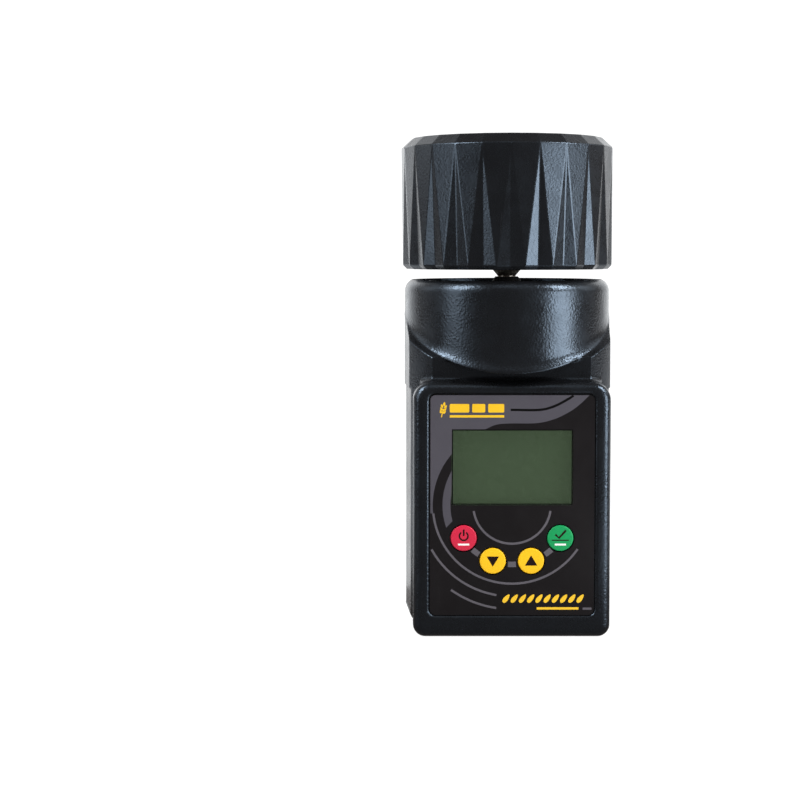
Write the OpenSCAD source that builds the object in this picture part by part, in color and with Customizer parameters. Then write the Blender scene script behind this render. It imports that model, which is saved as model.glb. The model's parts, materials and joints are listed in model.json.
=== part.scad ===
// Hand-held grain moisture meter: a two-shell housing with a round measuring cell on top,
// and a screw-down cap whose spindle drives a pressure plate inside the cell.
// Millimetres. +Z is up, the display faces -Y, and the origin is the middle of the base.

/* [Housing] */
// Width of the housing at the parting line
body_w = 72.6; // [70:0.2:74]
// Width of the housing across its front and back corners
body_end_w = 68.2; // [66:0.2:70]
// Distance from the cell's axis to the neck face, in front
neck_y = 29; // [27:0.5:30]
// Distance from the cell's axis to the back face
back_y = 33; // [31:0.5:34]
// Radius of the four upright corners
corner_r = 8; // [5:0.5:10]
// Radius of the two lower corners, seen from the front
foot_r = 8; // [5:0.5:9]
// Wall thickness of the shells
wall = 2.4; // [2:0.1:3]
// Outer radius of the round collar
collar_r = 36.5; // [36:0.1:37]
// Height of the collar's top
collar_top = 121.8; // [120:0.2:123]
// Height of the collar's lip at the front
lip_z = 91.3; // [89:0.1:93]
// Slope of the shoulders under the collar, in degrees
lip_slope = 28.3; // [24:0.1:32]
// Depth of the grip flats in the sides
grip_depth = 0.5; // [0.3:0.1:0.8]

/* [Front panel] */
// Width of the raised panel
panel_w = 67.2; // [64:0.2:68]
// Height of the raised panel
panel_h = 87.3; // [85:0.1:89]
// Distance from the cell's axis to the panel's rim
panel_y = 34.4; // [33:0.2:35]
// Radius of the raised panel's upper corners
panel_r = 6; // [4:0.5:8]
// Radius of the raised panel's lower corners
panel_foot_r = 4; // [2:0.5:6]
// Width of the printed overlay
overlay_w = 55.8; // [54:0.2:58]
// Height of the printed overlay
overlay_h = 75.2; // [73:0.2:77]
// Height of the overlay's lower edge
overlay_z = 7.8; // [6:0.1:8]
// Thickness of the overlay
overlay_t = 0.4; // [0.3:0.1:0.5]
// Depth of the overlay's recess in the panel
recess = 0.8; // [0.6:0.1:1]
// Width of the display window
window_w = 41; // [38:0.5:43]
// Height of the display window
window_h = 25.4; // [23:0.2:27]
// Height of the display window's middle
window_z = 58.2; // [57:0.1:59]
// Radius of a key
key_r = 4.4; // [4:0.1:4.6]
// Travel of a key
key_travel = 0.6; // [0.4:0.1:0.6]

/* [Cell and cap] */
// Radius of the cap over its corners
cap_r = 37.5; // [37:0.1:38]
// Height of the cap
cap_h = 46; // [44:0.5:48]
// Number of flutes round the cap
flutes = 24; // [20:2:28]
// Depth of a flute at the cap's foot
flute_depth = 1.7; // [1:0.1:2]
// Gap between the cap and the collar, with the cap part unscrewed
cap_gap = 3.3; // [3.2:0.1:4.5]
// Inner radius of the cell's metal cup
cup_r = 31.6; // [31:0.1:31.8]
// Radius of the spindle
spindle_r = 3.2; // [3:0.1:4]

/* [Hidden] */
$fn = 96;

big = 200;
run_fit = 0.05;                          // radial clearance of a running fit
mid_x = body_w / 2;
end_x = body_end_w / 2;
panel_x = panel_w / 2;

// Front panel planes, from the rim inwards
recess_y = -panel_y + recess;            // floor of the overlay's recess
panel_back_y = recess_y + 2;             // inner face of the panel
board_y = -24;                           // front face of the main board
board_t = 1.6;
board_w = 48;
board_h = 76;
board_foot = 6;
socket_y = board_y + board_t + 6;        // face of the board's wire sockets
socket_z = 65;
lcd_y = panel_back_y + 0.3;
lcd_t = 2.2;
lcd_w = 44;
lcd_h = 30;

// Keys, as [x, z] on the panel
key_places = [[-16.4, 34.2], [-6.5, 26.4], [6.5, 26.4], [16.4, 34.2]];
key_hole_r = key_r + 0.4;
key_face_y = recess_y - overlay_t - 0.3; // front face of a key, a little proud of the overlay
flange_t = 0.8;
switch_t = 3;
stem_end_y = board_y - switch_t - key_travel;

// Slopes on the upright corners: distance from the axis at a height, and how far they draw in per mm
corner_cut_r = 35.8;
corner_cut_z = 97;
corner_cut_slope = 0.6;

// Grip flats in the sides
grip_reach = 24;
grip_z = [5.6, 84];

// Rear of the housing
bay_x = 14.5;                            // half width inside the battery bay
bay_z = [11.4, 68];
bay_y = 9;
bay_wall = 1.6;
battery_x = 13.2;
battery_y = [11, 28.4];
battery_foot = 11.8;
lead_hole_y = bay_y + 3.4;
clip_top = 62.4;
clip_t = 3.9;
clip_x = 12.5;
clip_y = [13, 26.4];
snap_h = 2;
snap_r = [2.8, 3.6];
wire_r = 0.7;
wire_gap = 0.2;                          // a solder joint's height at a wire's end
lead_x = 0.85;                           // half the distance between the leads in the bay's roof
battery_top = 58.2;
snap_x = [-6.35, 6.35];                  // the battery's two snap contacts
snap_y = 19.7;
door_t = 2.2;
door_x = 17;
door_top = 70;
door_frame_t = 5;                        // wall round the door, which carries the battery bay
door_frame_foot = 6;
door_rib_x = 13.6;
door_rib_z = [50, 64];
nail_slot_x = 5;                         // slot that opens the door
hinge_y = back_y - 1.6;
hinge_z = 9.4;
hinge_r = 1.6;
hinge_pin_r = 0.8;
screw_places = [[-28.6, 9], [28.6, 9], [-28.6, 78], [28.6, 78]];
boss_r = 3.8;
screw_r = 1.4;
screw_head_r = 2.8;
screw_sink_y = 10;
screw_tip_y = -14;
post_places = [[-21, 10], [21, 10], [-21, 78.8], [21, 78.8]];

// Measuring cell, from the deck upwards
deck_z = 97.5;
deck_t = 3.5;
bore_r = 33.7;
base_t = 2.4;
cell_screw_places = [[21, -8], [-21, -8], [0, 21]];
cell_screw_foot = 89.5;
cell_hole_foot = 80;
probe_y = -18;
probe_r = 2;
probe_foot = 90.5;
cell_floor_z = deck_z + base_t;
anvil_t = 1.6;
ridge_h = 1;
cup_top = collar_top - 6.7;               // well below the collar's rim
cup_out_r = 33.4;
gasket_t = 0.6;
key_slot_w = 4;
bush_r = 6;
bush_flange_r = 9;
bush_foot_z = 81.5;

// Cap
cap_foot = collar_top + cap_gap;
cap_top = cap_foot + cap_h;
cap_bevel_h = 3.4;
cap_bevel_w = 3.7;
cap_turn = 1.3;                          // turns the flutes to where they stand at rest, in degrees
cap_foot_bevel = 1.4;
cap_wall_r = 32.5;
cap_ceiling = cap_top - 4;
cap_boss_r = 10;
cap_plate_t = 2.2;
top_disc_r = 23;
top_disc_t = 0.9;
post_ring_r = 25;
post_turns = [30:120:270];
post_screw_r = 1.3;
cap_nut_r = 7.5;                         // hexagon on the spindle, inside the cap's boss
cap_nut_foot = 24;
cap_nut_h = 5;
pin_r = 1.25;
pin_z = cap_foot + 12;

// Pressure plate, with the cap where it stands at rest
plate_z = 111.9;
plate_t = 2.4;
plate_r = cup_r - 0.8;
plate_key_r = 31.2;                      // keys that run in the cup's slots
washer_t = 0.6;
shoulder_z = plate_z + plate_t + washer_t;
shoulder_t = 1.6;
spindle_foot = 89;
flare_r = 5.2;                           // spindle under the cap
flare_h = 2.4;
boot_top = 122.4;
boot_r = 6.6;
circlip_z = plate_z - 1.1;
circlip_t = 0.8;
groove_r = spindle_r - 0.6;

// ---------- shapes shared by several parts ----------

// Points of an arc round c, from angle a0 to a1
function arc(c, r, a0, a1, n = 8) =
    [for (i = [0:n]) let (a = a0 + (a1 - a0) * i / n) c + r * [cos(a), sin(a)]];

// Half width of the housing where its straight side has reached y
function side_x(y, inset) =
    let (end_y = y < 0 ? -neck_y : back_y) mid_x - inset + (end_x - mid_x) * y / end_y;

// Plan of the housing: widest at the parting line, narrower to front and back, round at the corners
module plan(inset = 0) {
    r = max(corner_r - inset, 1);
    fy = -neck_y + inset + r;
    by = back_y - inset - r;
    fx = side_x(-neck_y + corner_r, inset) - r;
    bx = side_x(back_y - corner_r, inset) - r;
    polygon(concat(
        arc([-fx, fy], r, 180, 270), arc([fx, fy], r, 270, 360), [[mid_x - inset, 0]],
        arc([bx, by], r, 0, 90), arc([-bx, by], r, 90, 180), [[-mid_x + inset, 0]]
    ));
}

// Everything between the rounded lower corners, seen from the front
module between_feet(inset = 0) {
    r = foot_r - inset;
    w = mid_x - inset;
    translate([0, big / 2, 0]) rotate([90, 0, 0]) linear_extrude(big) polygon(concat(
        arc([-w + r, inset + r], r, 180, 270), arc([w - r, inset + r], r, 270, 360), [[w, big], [-w, big]]
    ));
}

// Upright rectangle with round corners, in the XZ plane, from y0 to y1
module front_plate(w, z0, h, r, y0, y1) {
    translate([0, y1, z0]) rotate([90, 0, 0]) linear_extrude(y1 - y0) {
        translate([-w / 2, r]) square([w, h - 2 * r]);
        translate([-w / 2 + r, 0]) square([w - 2 * r, h]);
        for (x = [-w / 2 + r, w / 2 - r], z = [r, h - r]) translate([x, z]) circle(r);
    }
}

// Block between two corners
module block(low, high) {
    translate(low) cube(high - low);
}

// Cylinder along Y, from y0 to y1
module along_y(x, z, r, y0, y1) {
    translate([x, y1, z]) rotate([90, 0, 0]) cylinder(r = r, h = y1 - y0);
}

// Ring round the cell's axis
module ring(r_in, r_out, z0, z1) {
    translate([0, 0, z0]) difference() {
        cylinder(r = r_out, h = z1 - z0);
        translate([0, 0, -1]) cylinder(r = r_in, h = z1 - z0 + 2);
    }
}

// Space under the sloping shoulders; the lift raises it
module under_shoulders(lift = 0) {
    rise = tan(lip_slope);
    ridge_z = lip_z + rise * collar_r + lift;
    rotate([90, 0, 90]) translate([0, 0, -big / 2]) linear_extrude(big) polygon([
        [-2 * collar_r, -1], [2 * collar_r, -1], [2 * collar_r, ridge_z - rise * 2 * collar_r],
        [0, ridge_z], [-2 * collar_r, ridge_z - rise * 2 * collar_r]
    ]);
}

// Space under the slopes that draw the four upright corners in below the collar's lip
module under_corners(inset = 0) {
    r = corner_cut_r - inset;
    intersection_for (a = [45:90:315]) rotate([0, 0, a]) rotate([90, 0, 0])
        translate([0, 0, -big / 2]) linear_extrude(big) polygon([
            [-big, -1], [r + corner_cut_slope * (corner_cut_z + 1), -1],
            [r - corner_cut_slope * (big - corner_cut_z), big], [-big, big]
        ]);
}

// Round wire along a list of points, as rings of 8 corners
module wire(path, r) {
    sides = 8;
    last = len(path) - 1;
    function heading(i) =
        let (d = path[min(i + 1, last)] - path[max(i - 1, 0)]) d / norm(d);
    function across(i) =
        let (t = heading(i), s = cross(t, abs(t[0]) < 0.9 ? [1, 0, 0] : [0, 0, 1])) s / norm(s);
    points = [for (i = [0:last], k = [0:sides - 1])
        let (s = across(i), u = cross(heading(i), s), a = 360 * k / sides)
        path[i] + r * (s * cos(a) + u * sin(a))];
    walls = [for (i = [0:last - 1], k = [0:sides - 1])
        let (n = (k + 1) % sides, a = i * sides, b = a + sides) [a + k, b + k, b + n, a + n]];
    ends = [[for (k = [0:sides - 1]) k], [for (k = [sides - 1:-1:0]) last * sides + k]];
    polyhedron(points, concat(walls, ends), convexity = 4);
}

// Smooth points through four control points
function curve(a, b, c, d, n = 14) = [for (i = [0:n]) let (t = i / n, u = 1 - t)
    u * u * u * a + 3 * u * u * t * b + 3 * u * t * t * c + t * t * t * d];

// ---------- housing ----------

// The outside of both shells together
module housing_outside() {
    difference() {
        union() {
            intersection() {
                linear_extrude(collar_top) plan();
                between_feet();
                under_shoulders();
                under_corners();
            }
            difference() {
                translate([0, 0, lip_z - 2]) cylinder(r = collar_r, h = collar_top - lip_z + 2);
                under_shoulders();
            }
            translate([0, 0, lip_z - 20]) cylinder(r = neck_y - 3, h = 30);
            intersection() {
                front_plate(panel_w, -big, panel_h + big, panel_r, -panel_y, -neck_y + 1);
                front_plate(panel_w, 0, panel_h + big, panel_foot_r, -panel_y, -neck_y + 1);
            }
        }
        for (s = [-1, 1]) grip_flat(s);
    }
}

// A shallow flat in one side of the housing, on both sides of the parting line
module grip_flat(s) {
    lean = atan((mid_x - end_x) / neck_y);
    depth = 5;
    for (front = [-1, 1]) translate([s * mid_x, 0, 0]) rotate([0, 0, s * front * lean])
        translate([s > 0 ? -grip_depth : grip_depth - depth, front < 0 ? -grip_reach : 0, grip_z[0]])
            cube([depth, grip_reach, grip_z[1] - grip_z[0]]);
}

// The space inside both shells
module housing_inside() {
    difference() {
        union() {
            intersection() {
                translate([0, 0, wall]) linear_extrude(deck_z - deck_t - wall) plan(wall);
                between_feet(wall);
                under_shoulders(-wall * 1.2);
                under_corners(wall * 1.2);
            }
            block([-panel_x + wall, panel_back_y, wall],
                  [panel_x - wall, -neck_y + wall + 1, panel_h - wall]);
        }
        for (p = screw_places) along_y(p[0], p[1], boss_r, -panel_y + 2, back_y);
        block([-bay_x - bay_wall, bay_y - bay_wall, bay_z[0] - bay_wall],
              [bay_x + bay_wall, back_y, bay_z[1] + bay_wall]);
        block([-door_x - bay_wall, back_y - door_frame_t, door_frame_foot],
              [door_x + bay_wall, back_y, door_top + bay_wall]);
        for (p = post_places) along_y(p[0], p[1], 2.4, -panel_y + 1, board_y);
    }
    translate([0, 0, deck_z]) cylinder(r = bore_r, h = big);
    translate([0, 0, deck_z - deck_t - 1]) cylinder(r = bush_r + 0.2, h = deck_t + 2);
}

// The opening for the display window in the overlay and the panel
module window_hole() {
    front_plate(window_w + 0.2, window_z - window_h / 2 - 0.1, window_h + 0.2, 0.8, -panel_y - 1, -neck_y);
}

module shells() {
    difference() {
        housing_outside();
        housing_inside();
    }
}

// Holes for the cell's screws
module cell_screw_holes() {
    for (p = cell_screw_places) translate([p[0], p[1], cell_hole_foot]) cylinder(r = 1.5, h = 20);
}

module front_shell() {
    color("#1b1c20") difference() {
        intersection() {
            shells();
            block([-big, -big, -1], [big, 0, big]);
        }
        front_plate(overlay_w + 0.3, overlay_z - 0.15, overlay_h + 0.3, 2.15, -panel_y - 1, recess_y);
        window_hole();
        for (p = key_places) along_y(p[0], p[1], key_hole_r, -panel_y, -neck_y);
        for (p = screw_places) along_y(p[0], p[1], screw_r, screw_tip_y - 1, 1);
        for (p = post_places) along_y(p[0], p[1], 0.9, -29, board_y + 1);
        cell_screw_holes();
        translate([0, probe_y, cell_hole_foot]) cylinder(r = probe_r + run_fit, h = 20);
    }
}

module rear_shell() {
    color("#1b1c20") difference() {
        intersection() {
            shells();
            block([-big, 0, -1], [big, big, big]);
        }
        block([-bay_x, bay_y, bay_z[0]], [bay_x, back_y + 1, bay_z[1]]);
        block([-door_x - 0.2, back_y - door_t - 0.2, hinge_z], [door_x + 0.2, back_y + 1, door_top + 0.2]);
        block([-door_x - 0.2, hinge_y, hinge_z - hinge_r - 0.3], [door_x + 0.2, back_y + 1, hinge_z + 0.1]);
        hinge_line(hinge_r + 0.3, 0.2);
        hinge_line(hinge_pin_r, 2.5);
        block([-nail_slot_x - 1, back_y - 1.6, door_top - 1], [nail_slot_x + 1, back_y + 1, door_top + 4]);
        for (p = screw_places) {
            along_y(p[0], p[1], screw_r + 0.2, -1, back_y);
            along_y(p[0], p[1], screw_head_r + 0.3, screw_sink_y, back_y + 1);
        }
        cell_screw_holes();
        translate([0, lead_hole_y, bay_z[1] - 1]) cylinder(r = 2, h = bay_wall + 2);
    }
}

// Cylinder along the door's hinge, past both its ends
module hinge_line(r, past) {
    translate([-door_x - past, hinge_y, hinge_z]) rotate([0, 90, 0]) cylinder(r = r, h = 2 * (door_x + past));
}

module battery_door() {
    color("#1b1c20") difference() {
        union() {
            block([-door_x, back_y - door_t, hinge_z], [door_x, back_y, door_top]);
            hinge_line(hinge_r, 0);
            for (s = [-1, 1]) block([s * door_rib_x - 0.8, back_y - door_t - 2, door_rib_z[0]],
                                    [s * door_rib_x + 0.8, back_y - door_t + 0.2, door_rib_z[1]]);
        }
        hinge_line(hinge_pin_r + run_fit, 1);
        block([-nail_slot_x, back_y - 0.9, door_top - 9], [nail_slot_x, back_y + 1, door_top - 4]);
    }
}

module door_hinge_pin() {
    color("silver") hinge_line(hinge_pin_r, 2.5);
}

// A pan-head screw along Y with its head behind
module screw_y(x, z, r, head_r, head_y, tip_y) {
    difference() {
        union() {
            along_y(x, z, r, tip_y, head_y + 0.5);
            along_y(x, z, head_r, head_y, head_y + 1.8);
        }
        for (a = [0, 90]) translate([x, head_y + 1.8, z]) rotate([0, a, 0])
            cube([head_r * 1.2, 1.6, 0.7], center = true);
    }
}

module housing_screws() {
    color("silver") for (p = screw_places)
        screw_y(p[0], p[1], screw_r, screw_head_r, screw_sink_y, screw_tip_y);
}

// ---------- front panel and electronics ----------

module keypad_overlay() {
    color("#26252a") difference() {
        front_plate(overlay_w, overlay_z, overlay_h, 2, recess_y - overlay_t, recess_y);
        window_hole();
        for (p = key_places) along_y(p[0], p[1], key_hole_r, -panel_y - 1, -neck_y);
    }
}

module display_window() {
    color("#3d4f3b")
        front_plate(window_w, window_z - window_h / 2, window_h, 0.7, recess_y - overlay_t, recess_y + 1.2);
}

module lcd_frame() {
    rim = 2;
    color("black") difference() {
        front_plate(lcd_w + 2 * rim, window_z - lcd_h / 2 - rim, lcd_h + 2 * rim, 1, lcd_y - 0.3, board_y);
        front_plate(lcd_w, window_z - lcd_h / 2, lcd_h, 0.8, lcd_y - 1, lcd_y + lcd_t);
        front_plate(lcd_w - 2 * rim, window_z - lcd_h / 2 + rim, lcd_h - 2 * rim, 0.6, lcd_y, board_y + 1);
    }
}

module lcd_glass() {
    color("#46583f") front_plate(lcd_w, window_z - lcd_h / 2, lcd_h, 0.8, lcd_y, lcd_y + lcd_t);
}

// A key: a disc in the panel, a flange behind it and a stem to its switch
module key(i) {
    p = key_places[i];
    along_y(p[0], p[1], key_r, key_face_y, panel_back_y + 0.2);
    along_y(p[0], p[1], key_r + 1.2, panel_back_y + 0.05, panel_back_y + flange_t);
    along_y(p[0], p[1], 1.4, panel_back_y + 0.4, stem_end_y);
}

module key_esc() {
    color("#d6243c") key(0);
}

module key_down() {
    color("#f6c40f") key(1);
}

module key_up() {
    color("#f6c40f") key(2);
}

module key_ok() {
    color("#2aa866") key(3);
}

module key_switches() {
    color("dimgray") for (p = key_places) {
        along_y(p[0], p[1], 1.6, board_y - switch_t, board_y - switch_t + 1.2);
        block([p[0] - 3, board_y - switch_t + 1, p[1] - 3], [p[0] + 3, board_y, p[1] + 3]);
    }
}

module main_board() {
    color("darkgreen") difference() {
        front_plate(board_w, board_foot, board_h, 1, board_y, board_y + board_t);
        for (p = post_places) along_y(p[0], p[1], 1.1, board_y - 1, board_y + board_t + 1);
    }
}

module board_parts() {
    y = board_y + board_t;
    color("#303030") {
        block([-9, y, 42], [5, y + 2, 56]);
        block([10, y, 46], [17, y + 1.6, 54]);
        block([-20, y, socket_z - 3], [-10, socket_y, socket_z + 3]);
        block([8, y, socket_z - 3], [20, socket_y, socket_z + 3]);
        for (x = [-16:6:14]) block([x, y, 30], [x + 2.6, y + 1.2, 32]);
        along_y(-12, 18, 4, y, y + 6);
        along_y(4, 18, 3, y, y + 7);
    }
}

module board_screws() {
    color("silver") for (p = post_places) screw_y(p[0], p[1], 0.9, 1.9, board_y + board_t, -28);
}

module battery() {
    color("goldenrod") {
        block([-battery_x, battery_y[0], battery_foot], [battery_x, battery_y[1], battery_top]);
        for (i = [0, 1]) translate([snap_x[i], snap_y, battery_top]) cylinder(r = snap_r[i], h = snap_h);
    }
}

module battery_clip() {
    color("#202020") difference() {
        block([-clip_x, clip_y[0], clip_top - clip_t], [clip_x, clip_y[1], clip_top]);
        for (i = [0, 1]) translate([snap_x[i], snap_y, battery_top - 1])
            cylinder(r = snap_r[i] + run_fit, h = snap_h + 1.2);
    }
}

// A battery lead: up from the clip, through the bay's roof and over to the board's socket
module battery_lead(x) {
    bay_hole = [x, lead_hole_y, 70];
    wire(concat(
        curve([3 * x, 18, clip_top + wire_gap], [3 * x, 18, 65], [x, lead_hole_y, 64], bay_hole, 10),
        curve(bay_hole + [0, -0.1, 0.4], [x, 12.2, 78], [x - 15, -4, 76],
              [x - 15, socket_y + wire_gap, socket_z], 14)
    ), wire_r);
}

module battery_lead_red() {
    color("red") battery_lead(lead_x);
}

module battery_lead_black() {
    color("black") battery_lead(-lead_x);
}

// ---------- measuring cell ----------

module cell_base() {
    color("#e8e2cf") difference() {
        translate([0, 0, deck_z]) cylinder(r = cup_out_r, h = base_t);
        translate([0, 0, deck_z - 1]) cylinder(r = bush_r + run_fit, h = base_t + 2);
        cell_screw_holes();
        translate([0, probe_y, deck_z - 1]) cylinder(r = probe_r + run_fit, h = 6);
    }
}

module cell_gasket() {
    color("#7a2f22") ring(cup_r + 0.2, cup_out_r, cell_floor_z, cell_floor_z + gasket_t);
}

module cell_cup() {
    color("#c4c6c8") difference() {
        ring(cup_r, cup_out_r, cell_floor_z + gasket_t, cup_top);
        for (s = [-1, 1]) block([s * cup_out_r - 3, -key_slot_w / 2, cell_floor_z + 5],
                                [s * cup_out_r + 3, key_slot_w / 2, cup_top + 1]);
    }
}

module anvil_disc() {
    color("#9fa3a6") difference() {
        union() {
            translate([0, 0, cell_floor_z]) cylinder(r = cup_r - 0.4, h = anvil_t);
            for (a = [0:15:345]) rotate([0, 0, a + 7.5])
                block([13, -0.7, cell_floor_z + 1], [cup_r - 2, 0.7, cell_floor_z + anvil_t + ridge_h]);
        }
        translate([0, 0, cell_floor_z - 1]) cylinder(r = bush_flange_r + 0.2, h = 5);
        for (p = cell_screw_places) translate([p[0], p[1], cell_floor_z - 1]) {
            cylinder(r = 1.5, h = 6);
            translate([0, 0, 1.6]) cylinder(r = 3.2, h = 6);
        }
        translate([0, probe_y, cell_floor_z - 1]) cylinder(r = probe_r + 0.6, h = 6);
    }
}

module cell_screws() {
    color("silver") for (p = cell_screw_places) translate([p[0], p[1], 0]) {
        translate([0, 0, cell_screw_foot]) cylinder(r = 1.45, h = cell_floor_z + 1 - cell_screw_foot);
        difference() {
            translate([0, 0, cell_floor_z + 0.6]) cylinder(r = 2.9, h = 1.6);
            translate([0, 0, cell_floor_z + 2.2]) cube([4, 0.8, 1.4], center = true);
        }
    }
}

module spindle_bush() {
    color("#b8974d") difference() {
        union() {
            translate([0, 0, bush_foot_z]) cylinder(r = bush_r, h = cell_floor_z - bush_foot_z + 1);
            translate([0, 0, cell_floor_z]) cylinder(r = bush_flange_r, h = 2.6);
        }
        translate([0, 0, bush_foot_z + 1.5]) cylinder(r = spindle_r + run_fit, h = 40);
    }
}

module bush_washer() {
    color("silver") ring(bush_r + run_fit, 10, deck_z - deck_t - 1.4, deck_z - deck_t);
}

module bush_nut() {
    foot = deck_z - deck_t - 1.4 - 4.6;
    color("#b8974d") difference() {
        translate([0, 0, foot]) cylinder(r = 9.8, h = 4.6, $fn = 6);
        translate([0, 0, foot - 1]) cylinder(r = bush_r, h = 7);
    }
}

module temperature_probe() {
    color("silver") translate([0, probe_y, probe_foot])
        cylinder(r = probe_r, h = cell_floor_z + anvil_t + 0.6 - probe_foot);
}

module probe_lead() {
    color("white") wire(curve([0, probe_y, probe_foot - wire_gap], [0, probe_y, 80], [-4, -12, 74],
                              [-5, board_y + board_t + wire_gap, 70]), wire_r);
}

module cell_lead() {
    color("blue") wire(curve([bush_r + wire_gap, 0, 83], [12, 0, 83], [14, -4, 68],
                             [14, socket_y + wire_gap, socket_z]), wire_r);
}

// ---------- cap, spindle and pressure plate ----------

// Solid of the knob: a polygon at the rim, with flutes that widen and deepen towards the foot
module knob_solid() {
    step = 360 / flutes;
    tip_r = cap_r * cos(step / 2);
    foot_z = cap_foot + cap_foot_bevel;
    function at(r, i, z) = [r * cos(step * i - 90 + cap_turn), r * sin(step * i - 90 + cap_turn), z];
    top = [for (k = [0:flutes - 1]) at(cap_r - cap_bevel_w, k, cap_top)];
    rim = [for (k = [0:flutes - 1]) at(cap_r, k, cap_top - cap_bevel_h)];
    low = [for (k = [0:flutes - 1], half = [0, 0.5])
        at(half == 0 ? cap_r - flute_depth : tip_r, k + half, foot_z)];
    foot = [for (k = [0:flutes - 1], half = [0, 0.5])
        at((half == 0 ? cap_r - flute_depth : tip_r) - cap_foot_bevel, k + half, cap_foot)];
    n = flutes;
    m = 2 * flutes;
    polyhedron(concat(top, rim, low, foot), concat(
        [[for (k = [n - 1:-1:0]) k]],
        [for (k = [0:n - 1]) [k, (k + 1) % n, n + (k + 1) % n, n + k]],
        [for (k = [0:n - 1]) [n + k, n + (k + 1) % n, 2 * n + 2 * k + 1]],
        [for (k = [0:n - 1]) [n + k, 2 * n + 2 * k + 1, 2 * n + 2 * k]],
        [for (k = [0:n - 1]) [n + (k + 1) % n, 2 * n + (2 * k + 2) % m, 2 * n + 2 * k + 1]],
        [for (j = [0:m - 1]) [2 * n + j, 2 * n + (j + 1) % m, 2 * n + m + j]],
        [for (j = [0:m - 1]) [2 * n + (j + 1) % m, 2 * n + m + (j + 1) % m, 2 * n + m + j]],
        [[for (j = [0:m - 1]) 2 * n + m + j]]
    ), convexity = 6);
}

// Cylinder across the cap's boss and the spindle
module cross_pin(length) {
    translate([0, 0, pin_z]) rotate([90, 0, 0]) cylinder(r = pin_r, h = length, center = true);
}

module cap_knob() {
    color("#17181b") difference() {
        knob_solid();
        difference() {
            translate([0, 0, cap_foot - 1]) cylinder(r = cap_wall_r, h = cap_ceiling - cap_foot + 1);
            translate([0, 0, cap_foot + cap_plate_t]) cylinder(r = cap_boss_r, h = cap_h);
            for (a = post_turns) rotate([0, 0, a]) translate([post_ring_r, 0, cap_foot + cap_plate_t])
                cylinder(r = 3.4, h = cap_h);
            for (a = [90:120:330]) rotate([0, 0, a])
                block([cap_boss_r - 1, -1, cap_foot + cap_plate_t + 6], [cap_wall_r + 1, 1, cap_top]);
        }
        translate([0, 0, cap_foot - 1]) cylinder(r = spindle_r, h = 28);
        translate([0, 0, cap_foot + cap_nut_foot]) cylinder(r = cap_nut_r, h = cap_nut_h + 0.5, $fn = 6);
        translate([0, 0, cap_foot + cap_nut_foot + cap_nut_h]) cylinder(r = cap_nut_r + 0.1, h = 30);
        translate([0, 0, cap_top - top_disc_t]) cylinder(r = top_disc_r, h = 2);
        for (a = post_turns) rotate([0, 0, a]) translate([post_ring_r, 0, cap_foot])
            cylinder(r = post_screw_r, h = 14);
        cross_pin(2 * cap_boss_r + 2);
    }
}

module cap_top_disc() {
    color("#202124") translate([0, 0, cap_top - top_disc_t]) cylinder(r = top_disc_r, h = top_disc_t);
}

module cap_base_plate() {
    color("#101114") difference() {
        translate([0, 0, cap_foot]) cylinder(r = cap_wall_r, h = cap_plate_t);
        translate([0, 0, cap_foot - 1]) cylinder(r = spindle_r + 0.2, h = cap_plate_t + 2);
        for (a = post_turns) rotate([0, 0, a]) translate([post_ring_r, 0, cap_foot]) {
            translate([0, 0, -1]) cylinder(r = 1.5, h = cap_plate_t + 2);
            translate([0, 0, -1]) cylinder(r = 2.9, h = 1 + 1.2);
        }
    }
}

module cap_screws() {
    color("silver") for (a = post_turns) rotate([0, 0, a]) translate([post_ring_r, 0, 0]) {
        translate([0, 0, cap_foot + 1]) cylinder(r = post_screw_r, h = 12);
        difference() {
            translate([0, 0, cap_foot + 0.1]) cylinder(r = 2.6, h = 1.1);
            translate([0, 0, cap_foot]) cube([3.4, 0.7, 1], center = true);
        }
    }
}

module spindle() {
    color("#c9bda0") difference() {
        union() {
            translate([0, 0, spindle_foot + 1])
                cylinder(r = spindle_r, h = cap_foot + cap_nut_foot - spindle_foot);
            translate([0, 0, spindle_foot]) cylinder(r1 = spindle_r - 1, r2 = spindle_r, h = 1);
            translate([0, 0, shoulder_z]) cylinder(r = 7, h = shoulder_t);
            translate([0, 0, cap_foot - flare_h]) cylinder(r1 = spindle_r, r2 = flare_r, h = flare_h);
            translate([0, 0, cap_foot + cap_nut_foot]) cylinder(r = cap_nut_r, h = cap_nut_h, $fn = 6);
        }
        ring(groove_r, 5, circlip_z, circlip_z + circlip_t);
        cross_pin(2 * cap_boss_r);
    }
}

module spindle_pin() {
    color("silver") cross_pin(2 * cap_boss_r - 1);
}

// Rubber boot that keeps dust off the pressure plate's bush
module spindle_boot() {
    foot = shoulder_z + shoulder_t;
    color("#151515") difference() {
        union() {
            translate([0, 0, foot]) cylinder(r = boot_r, h = 2);
            translate([0, 0, foot + 2]) cylinder(r1 = boot_r, r2 = spindle_r + 0.9, h = boot_top - foot - 2);
        }
        translate([0, 0, foot - 1]) cylinder(r = spindle_r + 0.02, h = boot_top - foot + 2);
    }
}

module thrust_washer() {
    color("silver") ring(spindle_r + run_fit, 7, plate_z + plate_t + run_fit, shoulder_z);
}

module plate_circlip() {
    color("dimgray") difference() {
        ring(groove_r, 5.4, circlip_z, circlip_z + circlip_t);
        block([0, -1, circlip_z - 1], [10, 1, circlip_z + 2]);
    }
}

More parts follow.
